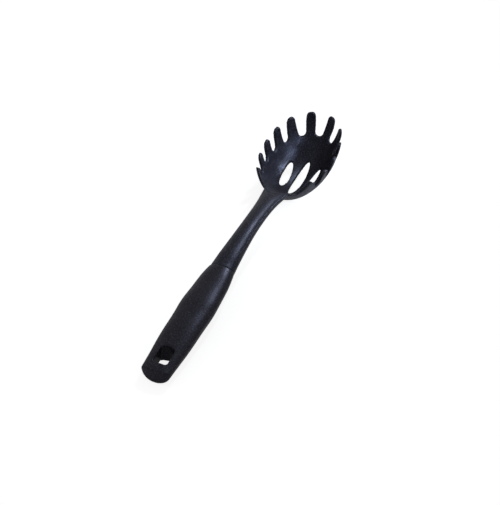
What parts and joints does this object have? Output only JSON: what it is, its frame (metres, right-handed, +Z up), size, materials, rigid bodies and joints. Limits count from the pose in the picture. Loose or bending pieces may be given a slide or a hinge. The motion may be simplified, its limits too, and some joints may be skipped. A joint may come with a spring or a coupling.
{
  "type": "pasta server",
  "caption": "Kitchen pasta server with a deep toothed bowl, drain slots in its floor, a long waisted neck and a soft grip with a hanging hole.",
  "frame": {"origin": "middle of the whole tool in length and width, on the plane that it lies on", "axes": "+X along the tool from the butt to the nose of the bowl, +Y across it, +Z up out of the open bowl, with the tool lying on its back"},
  "size_m": [0.3228, 0.0622, 0.0431],
  "materials": {
    "nylon": "satin moulded nylon with a fine grain",
    "soft_touch": "matt soft-touch skin",
    "core_plastic": "plain moulded, unseen"
  },
  "bodies": {
    "root": {"head": "nylon", "soft_grip": "soft_touch", "handle_core_top": "core_plastic", "handle_core_bottom": "core_plastic"}
  },
  "joints": []
}
